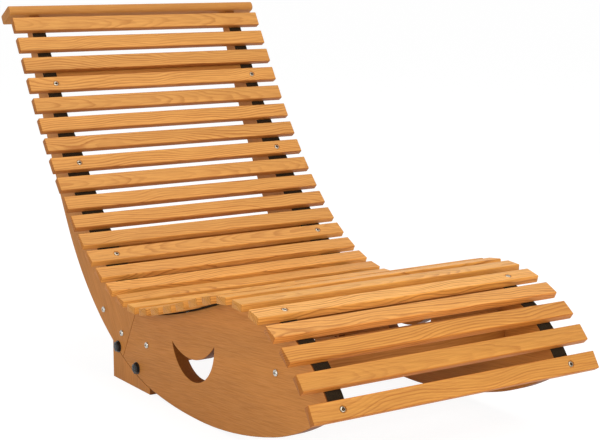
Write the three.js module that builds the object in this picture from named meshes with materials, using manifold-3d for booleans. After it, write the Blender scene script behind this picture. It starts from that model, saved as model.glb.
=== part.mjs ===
// Rocking chaise lounge for one person: thirty cross slats on two curved side frames.
// Millimetres. X runs across the seat, Y from the foot end to the head end, and Z up.
// Left is towards -X, as the lounger is seen from its foot end.
// The side frame is drawn in Y and Z about the spot where its round underside meets the floor.
import * as THREE from 'three';
import { ConvexGeometry } from 'three/addons/geometries/ConvexGeometry.js';
import { mergeVertices } from 'three/addons/utils/BufferGeometryUtils.js';
import Module from 'manifold-3d';

const wasm = await Module();
wasm.setup();
const { degToRad } = THREE.MathUtils;

// Slats
const SLAT_LENGTH = 600;
const SLAT_WIDTH = 32.2;
const SLAT_THICKNESS = 14;
const SLAT_EDGE_RADIUS = 1.8;
const SLAT_END_BEVEL = 1.5;

// Length that the side frame's drawing is made to. All shares below are parts of it, and a pair of
// shares is a place in Y and Z.
const FRAME_LENGTH = 1200;

// Where the slats lie along the seat line: the first slat's centre, then runs of equal spacing
const FIRST_SLAT_SHARE = 0.02285;
const SLAT_PITCH_SHARES = [
  { gaps: 12, pitch: 0.03955 },
  { gaps: 12, pitch: 0.04169 },
  { gaps: 5, pitch: 0.04278 },
];

// Seat line, the curve of the straps' upper faces, from the head end down and forward.
// Each stretch is an arc with its run and the degrees that it turns. A humped stretch turns back.
const BACK_TOP_SHARES = [0.5846, 0.5883];
const BACK_LEAN_ANGLE = degToRad(30.12);
const SEAT_STRETCH_SHARES = [
  { run: 0.1664, degrees: 1.58 },
  { run: 0.1383, degrees: 6.62 },
  { run: 0.124, degrees: 7.87 },
  { run: 0.1385, degrees: 19.81 },
  { run: 0.0823, degrees: 18.71 },
  { run: 0.0666, degrees: 18.64 },
  { run: 0.1507, degrees: 6.18 },
  { run: 0.0753, degrees: -9.71 },
  { run: 0.2896, degrees: -73.08 },
];

// Underside, from a short flat on the floor back and up to the head end, and forward to the nose
const FLOOR_FLAT = 20;
const REAR_STRETCH_SHARES = [
  { run: 0.11667, degrees: 7.895 },
  { run: 0.125, degrees: 18.724 },
  { run: 0.125, degrees: 14.469 },
  { run: 0.15, degrees: 18.093 },
  { run: 0.46667, degrees: 14.401 },
];
const FRONT_STRETCH_SHARES = [
  { run: 0.075, degrees: 6.031 },
  { run: 0.15, degrees: 10.091 },
  { run: 0.18333, degrees: 23.873 },
];

// Side frames: two boards and a foot block on each side, in one plane
const FRAME_WIDTH = 508;
const BOARD_THICKNESS = 24;
const SEAM_TOP_SHARE = 0.1762;
const SEAM_BOTTOM_SHARE = 0.2371;
const FOOT_FRONT_SHARE = 0.1429;
const FOOT_REAR_SHARE = 0.2737;

// Crescent hand hole in each rocker board: its two tips, and how far each arc sags below them
const HOLE_REAR_TIP_SHARES = [0.0646, 0.1058];
const HOLE_FRONT_TIP_SHARES = [-0.0654, 0.125];
const HOLE_SAG = 70;
const TONGUE_SAG = 29;

// Webbing straps between the slats and the boards, narrow at both ends
const STRAP_CENTRE = 242;
const STRAP_THICKNESS = 2;
const STRAP_END_WIDTH = 30;
const STRAP_FOOT_DRIFT = 5;
const STRAP_WIDTH = 47;
const STRAP_HEAD_NARROW = 214;
const STRAP_FOOT_NARROW = 290;
const STRAP_TAPER = 150;
const STRAP_TOP_STATION = 18;

// Cap rail across the head end
const CAP_DEPTH = 51;
const CAP_THICKNESS = 20.5;
const CAP_OVERHANG = 10;
const CAP_FRONT_RADIUS = 8;

// Leaning rail behind the backrest. Its middle lies behind the gap below so many slats.
const LEANING_RAIL_HEIGHT = 46;
const LEANING_RAIL_THICKNESS = 20;
const SLATS_ABOVE_RAIL_COUNT = 3;

// Upright rails: one where the backrest meets the seat, and two under the seat that are bolted
// through the boards at their middles
const UPRIGHT_RAIL_HEIGHT = 80;
const UPRIGHT_RAIL_THICKNESS = 24;
const LOWER_BACK_RAIL_SHARES = [0.3208, 0.18];

// Stub tenons that hold the two back rails in the boards
const TENON_RADIUS = 6;
const TENON_LENGTH = 10;

// Bolts through the boards into the two seat rails
const MIDDLE_BOLT_SHARES = [0.1496, 0.0808];
const FRONT_BOLT_SHARES = [-0.2371, 0.1275];

// Joint plates inside the seams, and the fixings that hold them
const PLATE_THICKNESS = 16;
const PLATE_MARGIN = 13;
const UPPER_PLATE_BOLT_SHARES = [0.3054, 0.1083];
const LOWER_PLATE_BOLT_SHARES = [0.2387, 0.0817];
const REAR_CAP_NUT_SHARES = [0.2533, 0.0558];
const FRONT_CAP_NUT_SHARES = [0.1867, 0.0342];
const FOOT_FIXING_SHARES = [0.2204, 0.0167];

// Button-head bolts
const BOLT_HEAD_RADIUS = 6.2;
const BOLT_HEAD_HEIGHT = 3.8;
const BOLT_RIM_HEIGHT = 0.8;
const BOLT_SOCKET_RADIUS = 2.2;
const BOLT_SOCKET_DEPTH = 1.8;
const BOLT_SHANK_RADIUS = 3;
const BOLT_SHANK_LENGTH = 38;

// Capped connector bolts at the foot block
const NUT_CAP_RADIUS = 11;
const NUT_CAP_HEIGHT = 10;
const NUT_CAP_RIM_HEIGHT = 6.5;
const NUT_CAP_TOP_RADIUS = 7.5;
const NUT_SHANK_RADIUS = 4;
const NUT_SHANK_LENGTH = 38;

// Space left between pieces that touch, extra depth of blind holes, and how far cuts run past a face
const CONTACT_GAP = 0.3;
const HOLE_SPARE = 1;
const OVERRUN = 5;

// Fineness of the curves
const LINE_STEP = 15;
const ARC_STEPS = 24;
const CORNER_STEPS = 1;
const ROUND_SIDES = 16;
const DOME_STEPS = 3;
const HALVINGS = 50;

// Worked out from the sizes above
const BOARD_OUTER = FRAME_WIDTH / 2;
const BOARD_INNER = BOARD_OUTER - BOARD_THICKNESS;
const BOARD_EDGE = -(STRAP_THICKNESS + CONTACT_GAP);
const SIDES = [
  { name: 'left', sign: -1 },
  { name: 'right', sign: 1 },
];

// A place in the side frame's drawing, from its shares in Y and Z
function drawn([yShare, zShare]) {
  return { y: yShare * FRAME_LENGTH, z: zShare * FRAME_LENGTH };
}

const BOLTS = [
  { name: 'plate_bolt_upper', place: drawn(UPPER_PLATE_BOLT_SHARES) },
  { name: 'plate_bolt_lower', place: drawn(LOWER_PLATE_BOLT_SHARES) },
  { name: 'rail_bolt_middle', place: drawn(MIDDLE_BOLT_SHARES) },
  { name: 'rail_bolt_front', place: drawn(FRONT_BOLT_SHARES) },
];
const CAP_NUTS = [
  { name: 'cap_nut_rear', place: drawn(REAR_CAP_NUT_SHARES) },
  { name: 'cap_nut_front', place: drawn(FRONT_CAP_NUT_SHARES) },
];
const PLATE_SPOTS = [
  UPPER_PLATE_BOLT_SHARES, LOWER_PLATE_BOLT_SHARES, REAR_CAP_NUT_SHARES, FRONT_CAP_NUT_SHARES,
  FOOT_FIXING_SHARES,
].map(drawn);

// Turns what is drawn in x and y so that x lies along Y, y along Z, and depth along X
const SIDE_VIEW = new THREE.Matrix4().makeBasis(
  new THREE.Vector3(0, 1, 0), new THREE.Vector3(0, 0, 1), new THREE.Vector3(1, 0, 0));

const SLAT_LOOK = { color: 0xd9974f, roughness: 0.6, metalness: 0 };
const BOARD_LOOK = { color: 0xb97a41, roughness: 0.55, metalness: 0 };
const RAIL_LOOK = { color: 0xc08348, roughness: 0.6, metalness: 0 };
const STRAP_LOOK = { color: 0x1b1917, roughness: 0.9, metalness: 0 };
const BOLT_LOOK = { color: 0xc9c9c6, roughness: 0.3, metalness: 1 };
const NUT_LOOK = { color: 0x23242a, roughness: 0.35, metalness: 0 };

const lounge = new THREE.Group();

function addPiece(name, geometry, look) {
  const mesh = new THREE.Mesh(geometry, new THREE.MeshStandardMaterial(look));
  mesh.name = name;
  lounge.add(mesh);
  return mesh;
}

// Arcs laid end to end from a start point, turning anticlockwise in Y and Z for a sense of 1.
// The curve gives the point at a distance along it, moved to its right by an offset.
function arcCurve(start, heading, sense, stretchShares) {
  return (distance, offset = 0) => {
    let { y, z } = start;
    let angle = heading;
    let remaining = distance;
    for (const [index, stretch] of stretchShares.entries()) {
      const run = stretch.run * FRAME_LENGTH;
      const part = index === stretchShares.length - 1 ? remaining : Math.min(remaining, run);
      const radius = run / degToRad(stretch.degrees);
      const halfTurn = part / radius / 2;
      const chord = 2 * radius * Math.sin(halfTurn);
      angle += sense * halfTurn;
      y += chord * Math.cos(angle);
      z += chord * Math.sin(angle);
      angle += sense * halfTurn;
      remaining -= part;
      if (remaining <= 0) {
        break;
      }
    }
    return { y: y + offset * Math.sin(angle), z: z - offset * Math.cos(angle), angle };
  };
}

// Points of a curve from one distance to another
function trace(curve, from, to, offset = 0) {
  const steps = Math.ceil(Math.abs(to - from) / LINE_STEP);
  return Array.from({ length: steps + 1 }, (_, i) => curve(from + ((to - from) * i) / steps, offset));
}

function totalRun(stretchShares) {
  return stretchShares.reduce((sum, { run }) => sum + run * FRAME_LENGTH, 0);
}

// Distance along a curve at which a measure of its point falls to zero or rises from it
function distanceWhere(curve, limit, measure) {
  const startSign = Math.sign(measure(curve(0)));
  let low = 0;
  let high = limit;
  for (let halving = 0; halving < HALVINGS; halving += 1) {
    const middle = (low + high) / 2;
    if (Math.sign(measure(curve(middle))) === startSign) {
      low = middle;
    } else {
      high = middle;
    }
  }
  return low;
}

const seatLine = arcCurve(
  drawn(BACK_TOP_SHARES), -(Math.PI / 2 + BACK_LEAN_ANGLE), -1, SEAT_STRETCH_SHARES);
const rearUnderside = arcCurve({ y: FLOOR_FLAT / 2, z: 0 }, 0, 1, REAR_STRETCH_SHARES);
const frontUnderside = arcCurve({ y: -FLOOR_FLAT / 2, z: 0 }, Math.PI, -1, FRONT_STRETCH_SHARES);
const seatLength = totalRun(SEAT_STRETCH_SHARES);
const rearLength = totalRun(REAR_STRETCH_SHARES);
const frontLength = totalRun(FRONT_STRETCH_SHARES);

// The nose is the corner where the boards' seat edge runs down into the underside
const seatEdge = (station) => seatLine(station, BOARD_EDGE);
const frontDistance = (y) => distanceWhere(frontUnderside, frontLength, (point) => point.y - y);
const seatEnd = distanceWhere(seatEdge, seatLength, ({ y, z }) => z - frontUnderside(frontDistance(y)).z);
const frontEnd = frontDistance(seatEdge(seatEnd).y);

// Stations of the slat centres along the seat line
const slatStations = [FIRST_SLAT_SHARE * FRAME_LENGTH];
for (const { gaps, pitch } of SLAT_PITCH_SHARES) {
  for (let i = 0; i < gaps; i += 1) {
    slatStations.push(slatStations.at(-1) + pitch * FRAME_LENGTH);
  }
}

// Solid along X from a side-view shape
function alongX(shape, fromX, toX) {
  const geometry = new THREE.ExtrudeGeometry(shape, {
    depth: toX - fromX, bevelEnabled: false, curveSegments: CORNER_STEPS });
  geometry.translate(0, 0, fromX);
  return geometry.applyMatrix4(SIDE_VIEW);
}

function shapeOf(points) {
  return new THREE.Shape(points.map(({ y, z }) => new THREE.Vector2(y, z)));
}

// Rectangle between two corners with its own radius at the low and the high end of its second side
function roundedRectangle(x0, y0, x1, y1, lowRadius, highRadius) {
  const shape = new THREE.Shape();
  shape.absarc(x0 + lowRadius, y0 + lowRadius, lowRadius, Math.PI, 1.5 * Math.PI);
  shape.absarc(x1 - lowRadius, y0 + lowRadius, lowRadius, 1.5 * Math.PI, 2 * Math.PI);
  shape.absarc(x1 - highRadius, y1 - highRadius, highRadius, 0, 0.5 * Math.PI);
  shape.absarc(x0 + highRadius, y1 - highRadius, highRadius, 0.5 * Math.PI, Math.PI);
  return shape;
}

// Solids for cutting and joining, and back
function solidOf(geometry) {
  const bare = geometry.clone();
  bare.deleteAttribute('normal');
  bare.deleteAttribute('uv');
  const merged = mergeVertices(bare);
  return new wasm.Manifold(new wasm.Mesh({
    numProp: 3,
    vertProperties: merged.attributes.position.array,
    triVerts: new Uint32Array(merged.index.array),
  }));
}

function geometryOf(solid) {
  const mesh = solid.getMesh();
  const geometry = new THREE.BufferGeometry();
  geometry.setAttribute('position', new THREE.BufferAttribute(mesh.vertProperties, 3));
  geometry.setIndex(new THREE.BufferAttribute(mesh.triVerts, 1));
  geometry.computeVertexNormals();
  return geometry;
}

// Round bar along X, centred on a point in Y and Z
function bar({ y, z }, radius, fromX, toX) {
  const geometry = new THREE.CylinderGeometry(radius, radius, Math.abs(toX - fromX), ROUND_SIDES);
  geometry.rotateZ(-Math.PI / 2);
  geometry.translate((fromX + toX) / 2, y, z);
  return solidOf(geometry);
}

// A lathe-turned fastener that points out of a side frame, with its seat on the outer face
function turnedPiece(profile, { y, z }, side) {
  const geometry = new THREE.LatheGeometry(profile.map(([r, h]) => new THREE.Vector2(r, h)), ROUND_SIDES);
  geometry.rotateZ(-Math.PI / 2);
  if (side.sign < 0) {
    geometry.rotateZ(Math.PI);
  }
  geometry.translate(side.sign * (BOARD_OUTER + CONTACT_GAP), y, z);
  return geometry;
}

// Places a mesh drawn with its length on X, its y up the seat line and its z out of it
function placeOnSeatLine(mesh, station, lift) {
  const { y, z, angle } = seatLine(station, lift);
  mesh.position.set(0, y, z);
  mesh.rotation.x = angle + Math.PI;
}

// Slats

// How far a flat slat stands off the curve where the curve is hollow
function slatLift(station) {
  const { y, z, angle } = seatLine(station);
  const rises = [-SLAT_WIDTH / 2, 0, SLAT_WIDTH / 2].map((along) => {
    const point = seatLine(station + along);
    return (point.y - y) * Math.sin(angle) - (point.z - z) * Math.cos(angle);
  });
  return Math.max(...rises) + CONTACT_GAP;
}

function slatGeometry() {
  const section = roundedRectangle(
    -SLAT_WIDTH / 2, 0, SLAT_WIDTH / 2, SLAT_THICKNESS, SLAT_EDGE_RADIUS, SLAT_EDGE_RADIUS);
  const geometry = new THREE.ExtrudeGeometry(section, {
    depth: SLAT_LENGTH - 2 * SLAT_END_BEVEL, curveSegments: CORNER_STEPS, bevelSegments: 1,
    bevelThickness: SLAT_END_BEVEL, bevelSize: SLAT_END_BEVEL, bevelOffset: -SLAT_END_BEVEL });
  geometry.translate(0, 0, SLAT_END_BEVEL - SLAT_LENGTH / 2);
  return geometry.applyMatrix4(SIDE_VIEW);
}

for (const [index, station] of slatStations.entries()) {
  const name = `slat_${String(index + 1).padStart(2, '0')}`;
  const slat = addPiece(name, slatGeometry(), SLAT_LOOK);
  placeOnSeatLine(slat, station, slatLift(station));
}

// Cap rail, lying across the top ends of the back boards
const capSection = roundedRectangle(
  CONTACT_GAP, CAP_OVERHANG - CAP_DEPTH, CONTACT_GAP + CAP_THICKNESS, CAP_OVERHANG,
  SLAT_EDGE_RADIUS, CAP_FRONT_RADIUS);
const capRail = addPiece('cap_rail', alongX(capSection, -SLAT_LENGTH / 2, SLAT_LENGTH / 2), RAIL_LOOK);
placeOnSeatLine(capRail, 0, 0);

// Straps

// The narrow foot end also lies a little nearer the middle of the seat
function strapSpan(station) {
  const fromHead = (station - STRAP_HEAD_NARROW) / STRAP_TAPER;
  const fromFoot = (seatEnd - station - STRAP_FOOT_NARROW) / STRAP_TAPER;
  const share = THREE.MathUtils.smoothstep(Math.min(fromHead, fromFoot), 0, 1);
  const drift = STRAP_FOOT_DRIFT * (1 - THREE.MathUtils.smoothstep(fromFoot, 0, 1));
  return { half: THREE.MathUtils.lerp(STRAP_END_WIDTH, STRAP_WIDTH, share) / 2, offset: STRAP_CENTRE - drift };
}

// A closed band through the corners of one cross section after another
function bandGeometry(sections) {
  const corners = sections[0].length;
  const index = [];
  for (let i = 0; i + 1 < sections.length; i += 1) {
    for (let k = 0; k < corners; k += 1) {
      const a = i * corners + k;
      const b = i * corners + ((k + 1) % corners);
      index.push(a, b + corners, b, a, a + corners, b + corners);
    }
  }
  const last = (sections.length - 1) * corners;
  index.push(0, 1, 2, 0, 2, 3, last, last + 2, last + 1, last, last + 3, last + 2);
  const geometry = new THREE.BufferGeometry();
  geometry.setAttribute('position', new THREE.Float32BufferAttribute(sections.flat(2), 3));
  geometry.setIndex(index);
  geometry.computeVertexNormals();
  return geometry;
}

function strapGeometry(side) {
  const top = trace(seatLine, STRAP_TOP_STATION, seatEnd);
  const under = trace(seatLine, STRAP_TOP_STATION, seatEnd, -STRAP_THICKNESS);
  const sections = top.map((outer, i) => {
    const inner = under[i];
    const station = THREE.MathUtils.lerp(STRAP_TOP_STATION, seatEnd, i / (top.length - 1));
    const { half, offset } = strapSpan(station);
    const middle = side.sign * offset;
    return [
      [middle - half, outer.y, outer.z],
      [middle + half, outer.y, outer.z],
      [middle + half, inner.y, inner.z],
      [middle - half, inner.y, inner.z],
    ];
  });
  return bandGeometry(sections);
}

for (const side of SIDES) {
  addPiece(`strap_${side.name}`, strapGeometry(side), STRAP_LOOK);
}

// Outlines of the side frame's three boards

const backTop = seatLine(0);
const reaches = (share) => ({ y }) => y - share * FRAME_LENGTH;
const seamSeat = distanceWhere(seatLine, seatLength, reaches(SEAM_TOP_SHARE));
const seamUnderside = distanceWhere(rearUnderside, rearLength, reaches(SEAM_BOTTOM_SHARE));
const rearTop = distanceWhere(rearUnderside, rearLength, ({ y, z }) =>
  (y - backTop.y) * Math.cos(backTop.angle) + (z - backTop.z) * Math.sin(backTop.angle));

const backBoardOutline = [
  ...trace(seatLine, 0, seamSeat, BOARD_EDGE),
  ...trace(rearUnderside, seamUnderside, rearTop),
];
const rockerBoardOutline = [
  ...trace(seatLine, seamSeat + CONTACT_GAP, seatEnd, BOARD_EDGE),
  ...trace(frontUnderside, frontEnd, 0).slice(1),
  ...trace(rearUnderside, 0, seamUnderside - CONTACT_GAP),
];
const footRear = distanceWhere(rearUnderside, rearLength, reaches(FOOT_REAR_SHARE));
const footFront = distanceWhere(rearUnderside, rearLength, reaches(FOOT_FRONT_SHARE));
const footUpperEdge = trace(rearUnderside, footRear, footFront, CONTACT_GAP);
const footBlockOutline = [
  { y: footUpperEdge.at(-1).y, z: 0 },
  { y: footUpperEdge[0].y, z: 0 },
  ...footUpperEdge,
];

// Arc from one tip to the other that sags below the line between them
function saggingArc(from, to, sag) {
  const chord = Math.hypot(to.y - from.y, to.z - from.z);
  const radius = (chord ** 2 / 4 + sag ** 2) / (2 * sag);
  const halfAngle = Math.atan2(chord / 2, radius - sag);
  const tilt = Math.atan2(to.z - from.z, to.y - from.y);
  const points = [];
  for (let i = 0; i <= ARC_STEPS; i += 1) {
    const angle = THREE.MathUtils.lerp(-halfAngle, halfAngle, i / ARC_STEPS);
    const along = radius * Math.sin(angle);
    const across = radius * (Math.cos(angle) - Math.cos(halfAngle));
    points.push({
      y: (from.y + to.y) / 2 + along * Math.cos(tilt) + across * Math.sin(tilt),
      z: (from.z + to.z) / 2 + along * Math.sin(tilt) - across * Math.cos(tilt),
    });
  }
  return points;
}

const holeFront = drawn(HOLE_FRONT_TIP_SHARES);
const holeRear = drawn(HOLE_REAR_TIP_SHARES);
const handHole = shapeOf([
  ...saggingArc(holeFront, holeRear, HOLE_SAG),
  ...saggingArc(holeFront, holeRear, TONGUE_SAG).reverse().slice(1, -1),
]);

const upperRailStation =
  (slatStations[SLATS_ABOVE_RAIL_COUNT - 1] + slatStations[SLATS_ABOVE_RAIL_COUNT]) / 2;
const upperRailMiddle = seatLine(upperRailStation, BOARD_EDGE - LEANING_RAIL_THICKNESS / 2);
const lowerRailMiddle = drawn(LOWER_BACK_RAIL_SHARES);
const seatRails = [
  { name: 'middle_rail', middle: drawn(MIDDLE_BOLT_SHARES) },
  { name: 'front_rail', middle: drawn(FRONT_BOLT_SHARES) },
];

// Bores through a side frame for its bolts and cap nuts, and blind holes for the rails' tenons
function frameBores(side) {
  const outside = side.sign * (BOARD_OUTER + OVERRUN);
  const inside = side.sign * (BOARD_INNER - PLATE_THICKNESS - OVERRUN);
  const morticeEnd = side.sign * (BOARD_INNER + TENON_LENGTH + HOLE_SPARE);
  const morticeStart = side.sign * (BOARD_INNER - OVERRUN);
  return [
    ...BOLTS.map(({ place }) => bar(place, BOLT_SHANK_RADIUS + CONTACT_GAP, outside, inside)),
    ...CAP_NUTS.map(({ place }) => bar(place, NUT_SHANK_RADIUS + CONTACT_GAP, outside, inside)),
    ...[upperRailMiddle, lowerRailMiddle].map(
      (middle) => bar(middle, TENON_RADIUS + CONTACT_GAP, morticeStart, morticeEnd)),
  ].reduce((all, bore) => all.add(bore));
}

function boardGeometry(outline, hole, side, bores) {
  const shape = shapeOf(outline);
  if (hole) {
    shape.holes.push(hole);
  }
  const faces = [side.sign * BOARD_INNER, side.sign * BOARD_OUTER];
  const blank = solidOf(alongX(shape, Math.min(...faces), Math.max(...faces)));
  return geometryOf(blank.subtract(bores));
}

// Plate stretched round its fixings, against the inner faces of the boards
function plateGeometry(side, bores) {
  const outer = side.sign * (BOARD_INNER - CONTACT_GAP);
  const inner = side.sign * (BOARD_INNER - CONTACT_GAP - PLATE_THICKNESS);
  const rim = [];
  for (const place of PLATE_SPOTS) {
    for (let i = 0; i < ROUND_SIDES; i += 1) {
      const angle = (2 * Math.PI * i) / ROUND_SIDES;
      const y = place.y + PLATE_MARGIN * Math.cos(angle);
      const z = place.z + PLATE_MARGIN * Math.sin(angle);
      rim.push(new THREE.Vector3(outer, y, z), new THREE.Vector3(inner, y, z));
    }
  }
  return geometryOf(solidOf(new ConvexGeometry(rim)).subtract(bores));
}

for (const side of SIDES) {
  const bores = frameBores(side);
  const backBoard = boardGeometry(backBoardOutline, null, side, bores);
  const rockerBoard = boardGeometry(rockerBoardOutline, handHole, side, bores);
  const footBlock = boardGeometry(footBlockOutline, null, side, bores);
  addPiece(`back_board_${side.name}`, backBoard, BOARD_LOOK);
  addPiece(`rocker_board_${side.name}`, rockerBoard, BOARD_LOOK);
  addPiece(`foot_block_${side.name}`, footBlock, BOARD_LOOK);
  addPiece(`joint_plate_${side.name}`, plateGeometry(side, bores), RAIL_LOOK);
}

// Rails between the side frames

const railEnd = BOARD_INNER - CONTACT_GAP;

function leaningBeam({ y, z, angle }) {
  const beam = new THREE.BoxGeometry(2 * railEnd, LEANING_RAIL_HEIGHT, LEANING_RAIL_THICKNESS);
  beam.rotateX(angle);
  beam.translate(0, y, z);
  return solidOf(beam);
}

function uprightBeam({ y, z }) {
  const beam = new THREE.BoxGeometry(2 * railEnd, UPRIGHT_RAIL_THICKNESS, UPRIGHT_RAIL_HEIGHT);
  beam.translate(0, y, z);
  return solidOf(beam);
}

function withTenons(beam, place) {
  const tenonEnd = BOARD_INNER + TENON_LENGTH;
  return geometryOf(beam.add(bar(place, TENON_RADIUS, -tenonEnd, tenonEnd)));
}

function boredForBolts(beam, place) {
  const boreEnd = BOARD_OUTER + CONTACT_GAP - BOLT_SHANK_LENGTH - HOLE_SPARE;
  return geometryOf(SIDES.reduce((solid, { sign }) => solid.subtract(
    bar(place, BOLT_SHANK_RADIUS + CONTACT_GAP, sign * boreEnd, sign * BOARD_INNER)), beam));
}

addPiece('back_rail_upper', withTenons(leaningBeam(upperRailMiddle), upperRailMiddle), RAIL_LOOK);
addPiece('back_rail_lower', withTenons(uprightBeam(lowerRailMiddle), lowerRailMiddle), RAIL_LOOK);
for (const { name, middle } of seatRails) {
  addPiece(name, boredForBolts(uprightBeam(middle), middle), RAIL_LOOK);
}

// Fasteners on the outer faces

// Quarter of an ellipse from a rim up to a smaller top
function dome(rimRadius, rimHeight, topRadius, topHeight) {
  return Array.from({ length: DOME_STEPS + 1 }, (_, i) => {
    const angle = (Math.PI / 2) * (i / DOME_STEPS);
    return [
      topRadius + (rimRadius - topRadius) * Math.cos(angle),
      rimHeight + (topHeight - rimHeight) * Math.sin(angle),
    ];
  });
}

const boltProfile = [
  [0, -BOLT_SHANK_LENGTH],
  [BOLT_SHANK_RADIUS, -BOLT_SHANK_LENGTH],
  [BOLT_SHANK_RADIUS, 0],
  [BOLT_HEAD_RADIUS, 0],
  ...dome(BOLT_HEAD_RADIUS, BOLT_RIM_HEIGHT, BOLT_SOCKET_RADIUS, BOLT_HEAD_HEIGHT),
  [BOLT_SOCKET_RADIUS, BOLT_HEAD_HEIGHT - BOLT_SOCKET_DEPTH],
  [0, BOLT_HEAD_HEIGHT - BOLT_SOCKET_DEPTH],
];
const nutProfile = [
  [0, -NUT_SHANK_LENGTH],
  [NUT_SHANK_RADIUS, -NUT_SHANK_LENGTH],
  [NUT_SHANK_RADIUS, 0],
  [NUT_CAP_RADIUS, 0],
  ...dome(NUT_CAP_RADIUS, NUT_CAP_RIM_HEIGHT, NUT_CAP_TOP_RADIUS, NUT_CAP_HEIGHT),
  [0, NUT_CAP_HEIGHT],
];

for (const side of SIDES) {
  for (const { name, place } of BOLTS) {
    addPiece(`${name}_${side.name}`, turnedPiece(boltProfile, place, side), BOLT_LOOK);
  }
  for (const { name, place } of CAP_NUTS) {
    addPiece(`${name}_${side.name}`, turnedPiece(nutProfile, place, side), NUT_LOOK);
  }
}

// Origin on the floor, under the middle of the length
const extent = new THREE.Box3().setFromObject(lounge, true);
lounge.position.set(0, -(extent.min.y + extent.max.y) / 2, -extent.min.z);

export default lounge;
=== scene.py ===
# %% [markdown]
# # A slatted rocking lounger
#
# This lesson dresses a rocking chaise lounge: thirty wooden slats screwed through webbing straps to two
# curved side frames. The measured wooden parts come in from model.glb in metres, with X across the
# seat, Y towards the head end and Z up. Every piece made here lies where its measured part lies.

import math

import bpy
from mathutils import Euler, Matrix, Vector


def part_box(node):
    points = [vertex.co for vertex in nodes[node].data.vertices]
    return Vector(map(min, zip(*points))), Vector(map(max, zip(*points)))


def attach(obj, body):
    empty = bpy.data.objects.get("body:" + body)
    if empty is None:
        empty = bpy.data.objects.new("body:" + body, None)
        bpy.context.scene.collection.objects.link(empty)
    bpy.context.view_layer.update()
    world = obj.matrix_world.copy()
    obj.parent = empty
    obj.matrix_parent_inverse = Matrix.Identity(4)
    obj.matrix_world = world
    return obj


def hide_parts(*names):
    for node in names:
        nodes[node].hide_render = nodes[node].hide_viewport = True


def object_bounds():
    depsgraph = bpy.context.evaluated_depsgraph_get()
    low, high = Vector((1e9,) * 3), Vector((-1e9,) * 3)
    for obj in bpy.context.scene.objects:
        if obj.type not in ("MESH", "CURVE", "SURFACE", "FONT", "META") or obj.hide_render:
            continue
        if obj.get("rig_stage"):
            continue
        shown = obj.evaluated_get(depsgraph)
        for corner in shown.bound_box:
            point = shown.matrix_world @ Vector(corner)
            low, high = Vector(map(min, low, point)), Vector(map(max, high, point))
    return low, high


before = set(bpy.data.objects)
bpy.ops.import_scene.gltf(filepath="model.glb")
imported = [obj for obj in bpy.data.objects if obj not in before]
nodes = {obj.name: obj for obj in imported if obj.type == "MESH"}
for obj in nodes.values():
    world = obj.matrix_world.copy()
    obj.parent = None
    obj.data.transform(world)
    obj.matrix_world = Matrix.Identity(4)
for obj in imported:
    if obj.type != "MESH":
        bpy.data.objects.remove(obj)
measured_box = [list(corner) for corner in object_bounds()]
BODY = "root"
SIDES = {"left": -1, "right": 1}
MM = 0.001
print("parts in the frame:", len(nodes))

# %% [markdown]
# ## The camera
#
# The picture was taken from in front of the lounger's left side, a little above the seat. The
# lens and the place below give the same view. The camera looks a little down and isn't rolled.
# A small shift of the lens stands for a picture whose middle lies just off the lens's axis.

# %% Camera
CAMERA_PLACE = Vector((-1505.7, -2420.0, 823.3)) * MM
CAMERA_TURN = math.radians(33.012)
CAMERA_DIP = math.radians(9.946)
LENS = 88.72
SENSOR = 36
VIEW_SHIFT = (0.00203, -0.00178)
VIEW_REACH = 50

camera = bpy.data.objects.new("camera", bpy.data.cameras.new("camera"))
bpy.context.scene.collection.objects.link(camera)
camera.location = CAMERA_PLACE
camera.rotation_euler = Euler((math.pi / 2 - CAMERA_DIP, 0, -CAMERA_TURN))
camera.data.lens = LENS
camera.data.sensor_width = SENSOR
camera.data.shift_x = VIEW_SHIFT[0]
camera.data.shift_y = VIEW_SHIFT[1]
camera.data.clip_end = VIEW_REACH
bpy.context.scene.camera = camera
bpy.context.scene.view_settings.view_transform = "Standard"
print("camera to the middle of the seat:", round(CAMERA_PLACE.length, 2), "m")

# %% [markdown]
# ## Working with pieces
#
# Each new piece starts as a primitive at its size, is shaped in edit mode, and is then put in its
# place. The edit-mode tools act on whatever is selected, so the helpers below always start with
# nothing selected. Points less than a hair apart count as one place. A finished piece keeps its
# place in its mesh, and its object sits at the origin. That way a wood pattern, which follows
# the object's coordinates, stays put.

# %% Helpers for pieces
HAIR = 1e-6


def only(obj):
    """Selects one object and nothing else."""
    if bpy.context.object and bpy.context.object.mode != "OBJECT":
        bpy.ops.object.mode_set(mode="OBJECT")
    bpy.ops.object.select_all(action="DESELECT")
    obj.select_set(True)
    bpy.context.view_layer.objects.active = obj
    return obj


def named(name):
    """Names the piece that was just added."""
    piece = bpy.context.object
    piece.name = name
    piece.data.name = name
    return piece


def edit(piece, mode="EDGE"):
    """Opens a piece in edit mode with nothing selected."""
    only(piece)
    bpy.ops.object.mode_set(mode="EDIT")
    bpy.ops.mesh.select_mode(type=mode)
    bpy.ops.mesh.select_all(action="DESELECT")


def pick_edges(piece, test):
    """In edit mode, selects the edges whose two end points pass a test."""
    bpy.ops.mesh.select_all(action="DESELECT")
    bpy.ops.object.mode_set(mode="OBJECT")
    mesh = piece.data
    for edge in mesh.edges:
        a, b = (mesh.vertices[i].co for i in edge.vertices)
        edge.select = test(a, b)
    bpy.ops.object.mode_set(mode="EDIT")


def pick_faces(piece, test):
    """In edit mode, selects the faces whose middle and normal pass a test."""
    bpy.ops.mesh.select_all(action="DESELECT")
    bpy.ops.object.mode_set(mode="OBJECT")
    for face in piece.data.polygons:
        face.select = test(face.center, face.normal)
    bpy.ops.object.mode_set(mode="EDIT")


def settle(piece, place=Matrix.Identity(4)):
    """Puts a piece in its place and moves the place into its mesh."""
    bpy.ops.object.mode_set(mode="OBJECT")
    only(piece)
    piece.matrix_world = place @ piece.matrix_world
    bpy.ops.object.transform_apply(location=True, rotation=True, scale=True)
    return piece


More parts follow.
